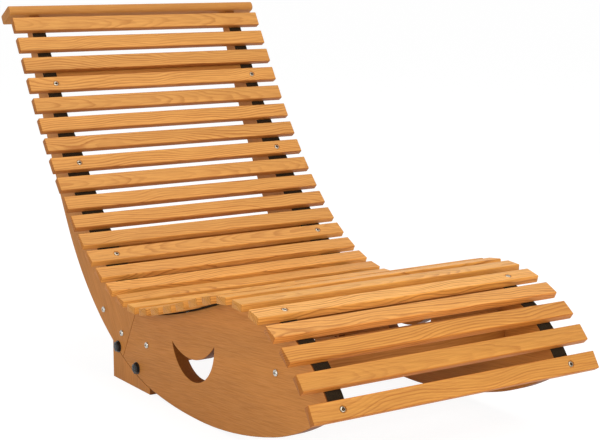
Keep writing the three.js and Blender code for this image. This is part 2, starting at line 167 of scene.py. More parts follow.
def smooth(piece, degrees=35):
    """Smooth shading, with edges sharper than an angle kept crisp."""
    only(piece)
    bpy.ops.object.shade_smooth_by_angle(angle=math.radians(degrees))
    return piece


def copy_at(piece, name, place):
    """A copy of a piece with its own mesh, in its place."""
    twin = piece.copy()
    twin.data = piece.data.copy()
    twin.name = name
    twin.data.name = name
    bpy.context.scene.collection.objects.link(twin)
    only(twin)
    return settle(twin, place)


def finish_piece(piece, material, slot, *stands_for):
    """Gives a piece its finish and its body, and hides the parts that it stands for."""
    piece.data.materials.clear()
    piece.data.materials.append(material)
    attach(piece, BODY)
    if stands_for:
        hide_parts(*stands_for)
    return piece

# %% [markdown]
# ## Wood with growth rings
#
# A slat is sawn from a log, so the lines on its face are growth rings cut at a low angle. Rings
# are distances from the log's core. Where the core lies to one side, the lines run side by side
# along the slat. Where it lies under the slat and leans away from it, they close into pointed
# arches. Each slat gets its own core, so that no two slats match. Fine fibres and streaks are
# noise that is stretched along the grain. A picture of wood would show the same lines on every
# slat and stop at its edges, so the rings are worked out from each point's place instead.

# %% Node helper
class Tree:
    """Adds nodes to a material, or to the sky, one after another."""

    def __init__(self, owner):
        owner.use_nodes = True
        self.owner = owner
        self.nodes = owner.node_tree.nodes
        self.links = owner.node_tree.links

    def feed(self, socket, value):
        """Links a socket to another node's output, or gives it a plain value."""
        if isinstance(value, bpy.types.NodeSocket):
            self.links.new(value, socket)
        else:
            socket.default_value = value

    def add(self, kind, inputs=(), **settings):
        node = self.nodes.new("ShaderNode" + kind)
        for key, value in settings.items():
            setattr(node, key, value)
        for key, value in dict(inputs).items():
            self.feed(node.inputs[key], value)
        return node

    def math(self, operation, a, b=0.0, c=0.0):
        return self.add("Math", {0: a, 1: b, 2: c}, operation=operation).outputs[0]

    def mix(self, share, a, b, blend="MIX"):
        inputs = {0: share, 6: a, 7: b}
        return self.add("Mix", inputs, data_type="RGBA", blend_type=blend).outputs[2]

    def between(self, value, low, high, out_low=0.0, out_high=1.0):
        """Maps a value between two limits smoothly onto two others."""
        inputs = {0: value, 1: low, 2: high, 3: out_low, 4: out_high}
        return self.add("MapRange", inputs, interpolation_type="SMOOTHSTEP").outputs[0]

    def noise(self, place, scale, detail=2.0, roughness=0.5):
        inputs = {"Vector": place, "Scale": scale, "Detail": detail, "Roughness": roughness}
        return self.add("TexNoise", inputs).outputs[0]

    def stretched_noise(self, place, along, across, detail=2.0, roughness=0.5):
        """Noise with so many cells to a metre along the grain, and so many across it."""
        cells = {0: place, 1: (along, across, across)}
        spot = self.add("VectorMath", cells, operation="MULTIPLY").outputs[0]
        return self.noise(spot, 1.0, detail, roughness)

    def into_shader(self, sockets):
        """Feeds sockets of the material's surface shader."""
        shader = self.nodes["Principled BSDF"]
        for key, value in sockets.items():
            self.feed(shader.inputs[key], value)


def colour(red, green, blue, lift=1.0):
    """A colour given in the 0 to 255 of a paint chart, as the light that it reflects."""
    def linear(value):
        share = value * lift / 255
        return share / 12.92 if share <= 0.04045 else ((share + 0.055) / 1.055) ** 2.4
    return (linear(red), linear(green), linear(blue), 1.0)

# %% Growth rings
CORE_SWINGS = 5.0
DEEP_SEED_STEP = 7.3
RING_RIPPLE = 4 * MM


def growth_lines(tree, own, axes, core, lean, ring, wander, contrast, seed):
    """How strongly the dark line of a growth ring shows at each point."""
    along, across, deep = axes
    path = tree.math("MULTIPLY_ADD", along, CORE_SWINGS, seed)

    def core_line(start, slope, row):
        """The core's place in one direction: it leans away and wanders as it goes along."""
        spot = tree.add("CombineXYZ", {0: path, 1: row}).outputs[0]
        way = tree.math("SUBTRACT", tree.noise(spot, 1.0, 1.0), 0.5)
        return tree.math("MULTIPLY_ADD", way, wander, tree.math("MULTIPLY_ADD", along, slope, start))

    aside = tree.math("SUBTRACT", across, core_line(core[0], lean[0], seed))
    below = tree.math("SUBTRACT", deep, core_line(core[1], lean[1], seed + DEEP_SEED_STEP))
    radius = tree.math("SQRT", tree.math(
        "ADD", tree.math("MULTIPLY", aside, aside), tree.math("MULTIPLY", below, below)))

    # Small unevenness of each ring, then how far through its ring a point lies
    ripple = tree.math("SUBTRACT", tree.stretched_noise(own, 16, 70, 3.0), 0.5)
    rings = tree.math("DIVIDE", tree.math("MULTIPLY_ADD", ripple, RING_RIPPLE, radius), ring)
    through = tree.math("FRACT", rings)
    late = tree.math("MULTIPLY", tree.between(through, 0.35, 0.86),
                     tree.between(through, 0.88, 1.0, 1.0, 0.0))

    # Some rings are bolder than others
    count = tree.add("CombineXYZ", {0: tree.math("FLOOR", rings), 1: seed}).outputs[0]
    bold = tree.add("TexWhiteNoise", {"Vector": count}, noise_dimensions="3D").outputs["Value"]
    return tree.math("MULTIPLY", late, tree.between(bold, 0.0, 1.0, 0.35 * contrast, contrast))

# %% [markdown]
# ## The finish of the wood
#
# The rings' dark lines are laid over the wood's own colour, then streaks, fibres and slow changes of
# tone. Cut surfaces take up oil differently, so a slat's narrow edges and sawn ends and a board's cut
# outline have tints of their own. Some of these tints are painted light and shade as well: the slats'
# edges and ends change with their place in the row, and a board's outline is painted deeper than its
# cut alone, as painted shade in the hand holes. Where a tint shows is found from how far a point lies
# from the piece's middle. The faces could be given their own materials instead, but a tint in the
# recipe can fade over a thin band at the rounded edges.

# %% The wood itself
EDGE_BAND = (2.4 * MM, 0.4 * MM)
END_BAND = (1.6 * MM, 0.2 * MM)
OUTLINE_BAND = (0.8 * MM, 0.05 * MM)


def wood(name, face, line, place, turn, core, seed, lean=(0.0, 0.0), ring=0.0038, wander=0.042,
         contrast=0.72, streak=0.42, half_length=None, half_width=None, half_thickness=None,
         cut=None, edge=None):
    """Wood whose grain runs along the piece's own length, with rings round a wandering core."""
    tree = Tree(bpy.data.materials.new(name))
    spot = tree.add("TexCoord").outputs["Object"]
    own = tree.add("Mapping", {"Vector": spot, "Location": place, "Rotation": turn},
                   vector_type="TEXTURE").outputs[0]
    axes = tree.add("SeparateXYZ", {0: own}).outputs
    lines = growth_lines(tree, own, axes, core, lean, ring, wander, contrast, seed)

    # Fibres, streaks and slow changes of tone
    fibre = tree.stretched_noise(own, 22, 900, 3.0, 0.6)
    streaks = tree.between(tree.stretched_noise(own, 13, 330), 0.42, 0.66, 0.0, streak)
    tone = tree.stretched_noise(own, 3, 26)
    body = tree.mix(lines, face, line)
    body = tree.mix(streaks, body, tree.mix(0.5, body, line))
    body = tree.mix(tree.between(fibre, 0.3, 0.7, 0.0, 0.22), body,
                    tree.mix(1.0, body, line, blend="MULTIPLY"))
    shift = tree.between(tone, 0.3, 0.7, 0.94, 1.05)
    shade = tree.add("CombineColor", {0: shift, 1: shift, 2: shift}).outputs[0]
    body = tree.mix(1.0, body, shade, blend="MULTIPLY")

    def tinted(body, axis, half, band, tint, within=0.0, beyond=1.0):
        """Tints the wood by how far from its middle a point lies on one axis."""
        starts, full = (half - depth for depth in band)
        share = tree.between(tree.math("ABSOLUTE", axis), starts, full, within, beyond)
        return tree.mix(share, body, tree.mix(1.0, body, (*tint, 1), blend="MULTIPLY"))

    along, across, deep = axes
    # The slats' edge and end tints carry painted shade and light as well as the cut's own tint.
    if half_width:
        body = tinted(body, across, half_width, EDGE_BAND, edge)
    if half_length:
        body = tinted(body, along, half_length, END_BAND, cut)
    # A board is tinted everywhere but on its two broad sides
    if half_thickness:
        body = tinted(body, deep, half_thickness, OUTLINE_BAND, cut, 1.0, 0.0)

    height = tree.math("MULTIPLY_ADD", lines, -0.5, tree.math("MULTIPLY", fibre, 0.7))
    bump = tree.add("Bump", {"Height": height, "Strength": 0.25, "Distance": 0.0004}).outputs[0]
    tree.into_shader({"Base Color": body, "Normal": bump, "Specular IOR Level": 0.2,
                      "Roughness": tree.between(fibre, 0.2, 0.8, 0.45, 0.64)})
    return tree.owner


HONEY = (228, 164, 86)
# The seat's slats are painted paler and the nose's deeper: painted light and shade.
SEAT_HONEY_PAINTED_LIGHTER = (246, 184, 103)
NOSE_HONEY_PAINTED_DEEPER = (214, 149, 68)
CAP_HONEY = (202, 140, 68)
HONEY_LINE = colour(172, 102, 42)
TAN = colour(204, 135, 62)
TAN_LINE = colour(158, 94, 36)
print("wood colours ready, lines at", [round(v, 2) for v in HONEY_LINE[:3]])

# %% [markdown]
# ## The slats
#
# The slats are planed strips with softly rounded edges. Thirty could be shaped one by one, but
# they all have one section. So one slat is made from a cube, with the same small bevel on its
# long edges and its ends, and copies of it go to all thirty places. A place and a tilt are read
# from the measured slat: its own middle, and the normal of its largest face on the sitter's
# side.

# %% Reading places from the frame
def middle(name):
    """The middle of a measured part's box."""
    low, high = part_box(name)
    return (low + high) / 2


def large_normal(name, towards):
    """Normal of a part's largest face on the side that a direction points to."""
    faces = [f for f in nodes[name].data.polygons if f.normal.dot(towards) > 0.5]
    return max(faces, key=lambda f: f.area).normal.copy()


def place_of(name, towards):
    """A part's middle, with x across the seat and z along the part's largest normal."""
    up = large_normal(name, towards)
    across = Vector((1, 0, 0))
    turn = Matrix((across, up.cross(across), up)).transposed()
    spots = [turn.transposed() @ vertex.co for vertex in nodes[name].data.vertices]
    centre = Vector([(min(values) + max(values)) / 2 for values in zip(*spots)])
    return Matrix.Translation(turn @ centre) @ turn.to_4x4()


slat_names = [f"slat_{number:02d}" for number in range(1, 31)]
slat_middles = [middle(name) for name in slat_names]
slat_places = []
for index, name in enumerate(slat_names):
    before = slat_middles[max(index - 1, 0)]
    after = slat_middles[min(index + 1, len(slat_names) - 1)]
    run = (after - before).normalized()
    slat_places.append(place_of(name, Vector((0, run.z, -run.y))))
print("slats read:", len(slat_places))

# %% One slat
SLAT_SIZE = Vector((600, 32.2, 14)) * MM
SLAT_ROUND = 1.8 * MM
SLAT_END_ROUND = 1.8 * MM


def rounded_bar(name, size, long_round, end_round, front_round=None):
    """A bar with its length on x, rounded along its length and at its ends."""
    bpy.ops.object.select_all(action="DESELECT")
    bpy.ops.mesh.primitive_cube_add(size=1)
    piece = named(name)
    piece.scale = size
    bpy.ops.object.transform_apply(scale=True)
    edit(piece)
    if front_round:
        pick_edges(piece, lambda a, b: abs(a.x - b.x) > size.x / 2 and a.y > 0)
        bpy.ops.mesh.bevel(offset=front_round, segments=6, profile=0.5)
        pick_edges(piece, lambda a, b: abs(a.x - b.x) > size.x / 2 and a.y < -size.y * 0.49)
    else:
        pick_edges(piece, lambda a, b: abs(a.x - b.x) > size.x / 2)
    bpy.ops.mesh.bevel(offset=long_round, segments=4, profile=0.5)
    pick_edges(piece, lambda a, b: abs(a.x - b.x) < HAIR and abs(abs(a.x) - size.x / 2) < HAIR)
    bpy.ops.mesh.bevel(offset=end_round, segments=2, profile=0.5)
    bpy.ops.object.mode_set(mode="OBJECT")
    return smooth(piece, 40)


slat_master = rounded_bar("slat_master", SLAT_SIZE, SLAT_ROUND, SLAT_END_ROUND)
print("faces on a slat:", len(slat_master.data.polygons))

# %% [markdown]
# ## Screws and their seats
#
# Five slats are screwed down near both ends. Each screw head sits in a shallow round seat, so
# that a thin dark ring shows round it. A ring that is only painted on would look flat, so the
# seats are cut by a boolean modifier. The heads are modelled once: a disc with a domed rim and a
# six-sided socket sunk into it.

# %% Screw seats
SCREWED_SLATS = (4, 8, 13, 26, 30)
SCREW_REACH = 240 * MM
SCREW_RADIUS = 5 * MM
SEAT_RADIUS = 6.6 * MM
SEAT_DEPTH = 2.4 * MM
HEAD_GAP = 0.05 * MM


def drilled_slat():
    """A copy of the slat with a round seat for a screw near each end."""
    drilled = copy_at(slat_master, "slat_drilled", Matrix.Identity(4))
    for sign in SIDES.values():
        bpy.ops.object.select_all(action="DESELECT")
        bpy.ops.mesh.primitive_cylinder_add(
            vertices=32, radius=SEAT_RADIUS, depth=2 * SEAT_DEPTH,
            location=(sign * SCREW_REACH, 0, SLAT_SIZE.z / 2))
        cutter = named("seat_cutter")
        only(drilled)
        modifier = drilled.modifiers.new("seat", "BOOLEAN")
        modifier.object = cutter
        modifier.solver = "EXACT"
        bpy.ops.object.modifier_apply(modifier="seat")
        bpy.data.objects.remove(cutter)
    return smooth(drilled, 40)


slat_drilled = drilled_slat()
print("faces on a drilled slat:", len(slat_drilled.data.polygons))

# %% Screw head
ROUND_SIDES = 36
SOCKET_RIM_SHARE = 0.15
SOCKET_FLOOR_SHARE = 0.2
SOCKET_POINT_SHARE = 0.12


def lift_top(inset, lift):
    """Insets the selected top face and lifts it."""
    bpy.ops.mesh.inset(thickness=inset)
    bpy.ops.transform.translate(value=(0, 0, lift))


def domed_blank(name, radius, rim, height, top_radius, steps):
    """A disc on z = 0 whose top is inset and lifted step by step, along a quarter of an ellipse."""
    bpy.ops.object.select_all(action="DESELECT")
    bpy.ops.mesh.primitive_cylinder_add(vertices=ROUND_SIDES, radius=radius, depth=rim,
                                        location=(0, 0, rim / 2))
    piece = named(name)
    bpy.ops.object.transform_apply(location=True)
    edit(piece, "FACE")
    pick_faces(piece, lambda c, n: n.z > 0.9)
    for step in range(steps):
        low, high = (math.pi / 2 * (step + k) / steps for k in (0, 1))
        inset = (radius - top_radius) * (math.cos(low) - math.cos(high))
        lift_top(inset, (height - rim) * (math.sin(high) - math.sin(low)))
    bpy.ops.object.mode_set(mode="OBJECT")
    return piece


def six_sided(piece, height, radius):
    """Pulls the ring of points at a height from a circle to a hexagon."""
    for vertex in piece.data.vertices:
        if abs(vertex.co.z - height) < HAIR and vertex.co.xy.length > radius / 2:
            angle = math.atan2(vertex.co.y, vertex.co.x) % (math.pi / 3) - math.pi / 6
            reach = radius * math.cos(math.pi / 6) / math.cos(angle)
            vertex.co.xy = vertex.co.xy.normalized() * reach


def socket_head(name, radius, rim, height, socket, depth):
    """A button head with a six-sided socket sunk into its top."""
    piece = domed_blank(name, radius, rim, height, socket * (1 + SOCKET_RIM_SHARE), 5)
    edit(piece, "FACE")
    pick_faces(piece, lambda c, n: c.z > height - HAIR and n.z > 0.9 and c.xy.length < HAIR)
    bpy.ops.mesh.inset(thickness=socket * SOCKET_RIM_SHARE)
    bpy.ops.object.mode_set(mode="OBJECT")
    for vertex in piece.data.vertices:
        if vertex.co.xy.length < socket * 1.01:
            vertex.co.z -= depth
    six_sided(piece, height - depth, socket)
    edit(piece, "FACE")
    pick_faces(piece, lambda c, n: c.z < height - depth + HAIR and n.z > 0.9)
    lift_top(socket * SOCKET_FLOOR_SHARE, -depth * SOCKET_POINT_SHARE)
    bpy.ops.object.mode_set(mode="OBJECT")
    # The socket's low points are marked for painted shade in the recess.
    sunk = piece.data.attributes.new("sunk", "FLOAT", "POINT")
    for vertex in piece.data.vertices:
        low = vertex.co.xy.length < socket * 1.1 and vertex.co.z < height - depth * 0.8
        sunk.data[vertex.index].value = 1.0 if low else 0.0
    return smooth(piece, 32)


SCREW_RIM = 0.9 * MM
SCREW_HEIGHT = 2.3 * MM
SCREW_SOCKET = 2.6 * MM
SCREW_SOCKET_DEPTH = 1.5 * MM
screw_master = socket_head("screw_master", SCREW_RADIUS, SCREW_RIM, SCREW_HEIGHT, SCREW_SOCKET,
                           SCREW_SOCKET_DEPTH)
print("screw head is", round(screw_master.dimensions.x / MM, 1), "mm across")

# %% [markdown]
# ## Metal and moulded finishes
#
# The screws are darker and browner than the bolts: a painted reflection of the wood round them. Both
# are one metal recipe: two shades in soft patches, a fine grit that scatters the light, and painted
# shade where the socket is sunk. The heads carry that painted shade as a value on their points, so it
# follows every copy. The caps are moulded, so they get a fine grain and a soft gloss.

# %% Metal and moulded finishes
def bright_metal(name, clean, dull, socket):
    """Plated metal in two shades, with painted shade where the socket is sunk."""
    tree = Tree(bpy.data.materials.new(name))
    spot = tree.add("TexCoord").outputs["Object"]
    grit = tree.noise(spot, 900.0, 3.0)
    film = tree.noise(spot, 260.0, 2.0)
    shade = tree.mix(tree.between(film, 0.35, 0.7), colour(*clean), colour(*dull))
    # Painted shade in the sunk socket, read from the heads' points.
    sunk = tree.add("Attribute", attribute_name="sunk").outputs["Fac"]
    shade = tree.mix(sunk, shade, colour(*socket))
    bump = tree.add("Bump", {"Height": grit, "Strength": 0.12, "Distance": 0.0001}).outputs[0]
    tree.into_shader({"Base Color": shade, "Metallic": 1.0, "Normal": bump,
                      "Roughness": tree.between(grit, 0.3, 0.7, 0.2, 0.34)})
    return tree.owner


def black_moulding():
    """Black moulded caps with a fine grain."""
    tree = Tree(bpy.data.materials.new("black_cap_moulding"))
    spot = tree.add("TexCoord").outputs["Object"]
    grain = tree.noise(spot, 1400.0, 2.0)
    shade = tree.mix(grain, colour(9, 8, 7), colour(20, 18, 16))
    bump = tree.add("Bump", {"Height": grain, "Strength": 0.15, "Distance": 0.0001}).outputs[0]
    tree.into_shader({"Base Color": shade, "Normal": bump, "Specular IOR Level": 0.4,
                      "Roughness": tree.between(grain, 0.3, 0.7, 0.2, 0.32)})
    return tree.owner


# The screws' darker, browner colours are a painted reflection of the wood round them; the last colour
# of each is the socket's painted shade.
SCREW_STEEL = bright_metal("screw_steel_painted_wood_reflection", (196, 186, 168), (140, 126, 104), (66, 48, 32))
BOLT_STEEL = bright_metal("bright_bolt_steel", (206, 203, 196), (168, 163, 152), (112, 102, 90))
BLACK = black_moulding()
print("finishes:", SCREW_STEEL.name, BOLT_STEEL.name, BLACK.name)

# %% [markdown]
# ## Grain and tints of each slat
#
# On the real lounger most slats show lines side by side, and some show arches. The seat's slats are
# painted the palest, those at the nose the deepest in colour and those up the back a little dimmer:
# painted light and shade for how the light falls on each part of the row. The edges are darkest up the
# back, as painted shade, lighter at the bend, as painted light, and darker between the seat's slats, as
# painted shade. Slats could be given looks one by one, but a few ranges and a slow wave over their
# numbers say the same in less.

# %% Grain and tints of the slats
BACK_SLATS = range(1, 12)
BEND_SLATS = range(12, 17)
# Slats up the back are painted a little dimmer: painted shade.
SLATS_PAINTED_DIMMER = range(1, 14)
SEAT_SLATS = range(17, 27)
NOSE_SLATS = range(28, 31)
ARCHED_EVERY = 4


def slat_core(number):
    """Where the log's core lies beside a slat, how it leans and wanders, and how bold its rings are."""
    swing = math.sin(9.7 * number)
    if number % ARCHED_EVERY == 1:
        lean = (0.015 * swing, 0.045 if swing > 0 else -0.045)
        return {"core": (0.008 * swing, -0.03), "lean": lean, "ring": 0.0024, "wander": 0.016,
                "contrast": 0.5}
    side = 1 if math.sin(5.1 * number) > 0 else -1
    return {"core": (side * (0.034 + 0.012 * swing), -0.028 - 0.01 * swing),
            "lean": (0.05 * swing, 0.03 * side)}


def slat_tints_with_painted_light(number):
    """Tints of a slat's narrow edges and sawn ends: the cut's own tint, with painted shade and painted
    light by range.
    """
    # Up the back the edges are painted darker: painted shade on the slats' narrow faces.
    if number in BACK_SLATS:
        return {"edge": (0.72, 0.58, 0.44), "cut": (0.68, 0.54, 0.38)}
    # At the bend the edges and ends are painted lighter: painted light.
    if number in BEND_SLATS:
        return {"edge": (1.08, 1.06, 0.92), "cut": (0.8, 0.66, 0.46)}
    # On the seat the edges are painted darker, as painted shade in the gaps, and the ends lighter, as
    # painted light.
    if number in SEAT_SLATS:
        return {"edge": (0.9, 0.78, 0.54), "cut": (0.78, 0.68, 0.48)}
    return {"edge": (1.0, 0.84, 0.66), "cut": (0.68, 0.54, 0.38)}


def slat_colour(number):
    """A slat's own tone, as no two come from the same board, on a colour painted paler on the seat and
    deeper at the nose and up the back: painted light and shade.
    """
    own = 1 + 0.02 * math.sin(22.3 * number)
    if number in NOSE_SLATS:
        return colour(*NOSE_HONEY_PAINTED_DEEPER, own)
    if number in SEAT_SLATS:
        return colour(*SEAT_HONEY_PAINTED_LIGHTER, own)
    return colour(*HONEY, own * (0.985 if number in SLATS_PAINTED_DIMMER else 1.045))


print("slats with arches:", [number for number in range(1, 31) if number % ARCHED_EVERY == 1])

# %% Slats into place
SCREW_TURN = 0.7
SLAT_SEED_STEP = 3.1
screw_height = SLAT_SIZE.z / 2 - SEAT_DEPTH + HEAD_GAP
for number, (name, place) in enumerate(zip(slat_names, slat_places), start=1):
    screwed = number in SCREWED_SLATS
    piece = copy_at(slat_drilled if screwed else slat_master, f"planed_{name}", place)
    grain = wood(f"wood_{name}", slat_colour(number), HONEY_LINE, place.translation,
                 place.to_euler(), seed=SLAT_SEED_STEP * number, half_length=SLAT_SIZE.x / 2,
                 half_width=SLAT_SIZE.y / 2, **slat_core(number), **slat_tints_with_painted_light(number))
    finish_piece(piece, grain, "slat_wood", name)
    if screwed:
        for side, sign in SIDES.items():
            spot = place @ Matrix.Translation((sign * SCREW_REACH, 0, screw_height))
            spin = Matrix.Rotation(SCREW_TURN * number + sign, 4, "Z")
            screw = copy_at(screw_master, f"slat_screw_{number:02d}_{side}", spot @ spin)
            finish_piece(screw, SCREW_STEEL, "bright_steel")
bpy.data.objects.remove(slat_master)
bpy.data.objects.remove(slat_drilled)
bpy.data.objects.remove(screw_master)
print("slats placed:", len(slat_places))

# %% [markdown]
# ## The cap rail
#
# A thicker rail lies across the top of the backrest. Its front is rounded over like the nosing of
# a stair, so the bar helper gives its two front edges a wide bevel.

# %% Cap rail
CAP_SIZE = Vector((600, 51, 20.5)) * MM
CAP_ROUND = 2.5 * MM
CAP_NOSE = 8 * MM
BACK_LEAN = math.radians(30.12)
up_the_back = Vector((0, math.sin(BACK_LEAN), math.cos(BACK_LEAN)))
cap_place = place_of("cap_rail", up_the_back) @ Matrix.Rotation(math.pi, 4, "Z")
cap = rounded_bar("cap_blank", CAP_SIZE, CAP_ROUND, SLAT_END_ROUND, CAP_NOSE)
cap_rail = copy_at(cap, "rounded_cap_rail", cap_place)
bpy.data.objects.remove(cap)
cap_grain = wood("wood_cap_rail", colour(*CAP_HONEY), HONEY_LINE, cap_place.translation,
                 cap_place.to_euler(), core=(0.07, -0.05), wander=0.02, contrast=0.16,
                 streak=0.3, seed=97, half_length=CAP_SIZE.x / 2, cut=(0.95, 0.93, 1.1))
finish_piece(cap_rail, cap_grain, "slat_wood", "cap_rail")
print("cap rail at", [round(v, 3) for v in cap_place.translation])

# %% [markdown]
# ## Rails between the side frames
#
# One rail leans behind the backrest's upper slats. Three stand upright: one where the backrest
# meets the seat, and two under the seat. They are planed like the slats but not so round, so
# the bar helper makes each at its own size. They lie mostly in shade.

# %% Rails
RAIL_ROUND = 1.5 * MM
RAIL_LENGTH = 459.4
RAIL_SECTIONS = {"back_rail_upper": (46, 20), "back_rail_lower": (80, 24), "middle_rail": (80, 24),
                 "front_rail": (80, 24)}
for number, (name, section) in enumerate(RAIL_SECTIONS.items()):
    place = place_of(name, Vector((0, -1, 0)))
    size = Vector((RAIL_LENGTH, *section)) * MM
    blank = rounded_bar("rail_blank", size, RAIL_ROUND, RAIL_ROUND)
    rail = copy_at(blank, f"planed_{name}", place)
    bpy.data.objects.remove(blank)
    grain = wood(f"wood_{name}", TAN, TAN_LINE, place.translation, place.to_euler(),
                 core=(0.05, -0.04), contrast=0.45, seed=50 + 4.7 * number)
    finish_piece(rail, grain, "rail_wood", name)
print("rails placed:", len(RAIL_SECTIONS))

# %% [markdown]
# ## The side frames
#
# Each side frame is cut from thick board: a back board and a rocker board that meet at a seam,
# and a foot block under it. The frame's boards have the right outline already, so nothing is
# drawn again. A copy of each is welded, and its outline edges are rounded a little with a bevel,
# as sanding does. Bolt holes are left sharp, because bolt heads cover them. One large face with
# holes in it can fold over itself, so both broad sides are then cleared and filled again from
# their rims, which keeps them flat.

# %% Rims and broad sides of a board
SIDE_SLACK = 0.002 * MM


def edges_between_walls(piece):
    """Edges of a flat part where a broad side meets the rim."""
    bpy.ops.object.mode_set(mode="OBJECT")
    mesh = piece.data
    sides = {}
    for face in mesh.polygons:
        broad = abs(face.normal.x) > 0.9
        for pair in face.edge_keys:
            sides.setdefault(pair, []).append(broad)
    found = set()
    for (a, b), kinds in sides.items():
        if sorted(kinds) == [False, True]:
            ends = (tuple(round(v, 6) for v in mesh.vertices[i].co) for i in (a, b))
            found.add(tuple(sorted(ends)))
    bpy.ops.object.mode_set(mode="EDIT")
    return found


def fill_again(piece, side_x):
    """Clears a broad side and fills it from its rim, because one large face folds at the holes."""
    edit(piece, "FACE")
    pick_faces(piece, lambda c, n: abs(c.x - side_x) < SIDE_SLACK)
    bpy.ops.mesh.delete(type="FACE")
    bpy.ops.mesh.select_mode(type="EDGE")
    bpy.ops.mesh.select_all(action="DESELECT")
    bpy.ops.mesh.select_non_manifold(extend=False)
    bpy.ops.mesh.fill(use_beauty=True)
    bpy.ops.mesh.select_all(action="SELECT")
    bpy.ops.mesh.normals_make_consistent(inside=False)
    bpy.ops.object.mode_set(mode="OBJECT")

# %% Sanded boards
BOARD_ROUND = 1.4 * MM
WELD = 0.01 * MM
HOLE_CLEARANCE = 8 * MM
FASTENERS = [name for name in nodes if "bolt" in name or "cap_nut" in name]
hole_middles = [middle(name) for name in FASTENERS]


def sanded(name, new_name):
    """A welded copy of a flat part, with its outline edges rounded."""
    piece = copy_at(nodes[name], new_name, Matrix.Identity(4))
    for key in [key for key in piece.keys() if key.startswith("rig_")]:
        del piece[key]
    piece.parent = None
    edit(piece, "VERT")
    bpy.ops.mesh.select_all(action="SELECT")
    bpy.ops.mesh.remove_doubles(threshold=WELD)
    bpy.ops.mesh.dissolve_limited(angle_limit=math.radians(1))
    bpy.ops.mesh.select_all(action="DESELECT")
    bpy.ops.mesh.select_mode(type="EDGE")
    sharp = edges_between_walls(piece)

    def on_outline(a, b):
        key = tuple(sorted((tuple(round(v, 6) for v in a), tuple(round(v, 6) for v in b))))
        spot = (a + b) / 2
        clear = all((spot - hole).yz.length > HOLE_CLEARANCE for hole in hole_middles)
        return clear and key in sharp

    pick_edges(piece, on_outline)
    bpy.ops.mesh.bevel(offset=BOARD_ROUND, segments=3, profile=0.5, clamp_overlap=False)
    bpy.ops.object.mode_set(mode="OBJECT")
    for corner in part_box(name):
        fill_again(piece, corner.x)
    smooth(piece, 30)
    level = piece.modifiers.new("broad_sides_stay_level", "WEIGHTED_NORMAL")
    level.weight = 100
    level.keep_sharp = True
    bpy.ops.object.modifier_apply(modifier=level.name)
    return piece


print("bolt holes and cap holes:", len(hole_middles))

# %% Boards into place
def board_turn(degrees):
    """Turn of a pattern whose grain lies in the board, at an angle above the floor."""
    flat = Euler((math.pi / 2, 0, math.pi / 2)).to_matrix()
    return (Matrix.Rotation(math.radians(degrees), 3, "X") @ flat).to_euler()


# The outline's tint is the cut's own darker tone, made deeper as painted shade in the hand holes.
BOARD_CUT_TINT_AND_SHADE = (0.4, 0.31, 0.25)
BOARD_GRAIN = {"back_board": 60, "rocker_board": -6, "foot_block": 88, "joint_plate": 20}
for side, sign in SIDES.items():
    for number, (kind, angle) in enumerate(BOARD_GRAIN.items()):
        name = f"{kind}_{side}"
        low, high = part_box(name)
        board = sanded(name, f"sanded_{name}")
        grain = wood(f"wood_{name}", TAN, TAN_LINE, middle(name), board_turn(angle),
                     core=(0.3, -0.12), ring=0.0046, wander=0.05, contrast=0.14,
                     seed=11 + 5.3 * number + sign, cut=BOARD_CUT_TINT_AND_SHADE,
                     half_thickness=(high.x - low.x) / 2)
        slot = "rail_wood" if kind == "joint_plate" else "board_wood"
        finish_piece(board, grain, slot, name)
        print(name, "faces:", len(board.data.polygons))

# %% [markdown]
# ## Webbing straps
#
# A woven strap runs under the slats on each side and hides the top edge of the boards. A strip
# could be bent along the path, but its faces would stretch where the path turns sharply. So it
# starts as a small plane whose front edge is pushed out from one measured cross section to the
# next. Each point then knows its cross section, which gives the weave its own map: how far along
# the strap a point lies, and how far across.

# %% Strap path
FAR_BEYOND = 9


def station_of(spot):
    """How far off the row of slats a point lies, and how far along it from the first slat."""
    best = None
    gone = 0
    last = len(slat_middles) - 2
    for index, (start, end) in enumerate(zip(slat_middles, slat_middles[1:])):
        run = (end - start).yz
        share = (spot - start.yz).dot(run) / run.length_squared
        held = min(max(share, -FAR_BEYOND if index == 0 else 0), FAR_BEYOND if index == last else 1)
        miss = (start.yz + run * held - spot).length
        if best is None or miss < best[0]:
            best = (miss, gone + held * run.length)
        gone += run.length
    return best


def strap_sections(name):
    """A measured strap's cross sections in order: outer point and the strap's two edges in x."""
    spots = {}
    for vertex in nodes[name].data.vertices:
        key = tuple(round(v, 5) for v in vertex.co.yz)
        spots.setdefault(key, []).append(vertex.co.x)
    ordered = sorted(((station_of(Vector(key)), key, xs) for key, xs in spots.items()),
                     key=lambda item: item[0][1])
    sections = []
    for pair in zip(ordered[::2], ordered[1::2]):
        (_, station), key, xs = min(pair, key=lambda item: item[0][0])
        sections.append((station, Vector((0, *key)), min(xs), max(xs)))
    return sections


sections = {side: strap_sections(f"strap_{side}") for side in SIDES}
print("strap cross sections:", {side: len(found) for side, found in sections.items()})

# %% Strap strip
STRAP_THICKNESS = 2 * MM
STRAP_EDGE = 0.5 * MM


def pushed_strip(name, steps):
    """A strip that is pushed out along the strap's path, from one cross section to the next."""
    bpy.ops.object.select_all(action="DESELECT")
    bpy.ops.mesh.primitive_plane_add(size=1)
    piece = named(name)
    for vertex in piece.data.vertices:
        _, spot, low, high = steps[0 if vertex.co.y < 0 else 1]
        vertex.co = (low if vertex.co.x < 0 else high, spot.y, spot.z)
    edit(piece)
    lead = steps[1][1]
    pick_edges(piece, lambda a, b: (a - b).yz.length < HAIR and (a - lead).yz.length < HAIR)
    for (_, spot, *_), (_, ahead, *_) in zip(steps[1:], steps[2:]):
        bpy.ops.mesh.extrude_edges_move(TRANSFORM_OT_translate={"value": ahead - spot})
    bpy.ops.object.mode_set(mode="OBJECT")
    return piece


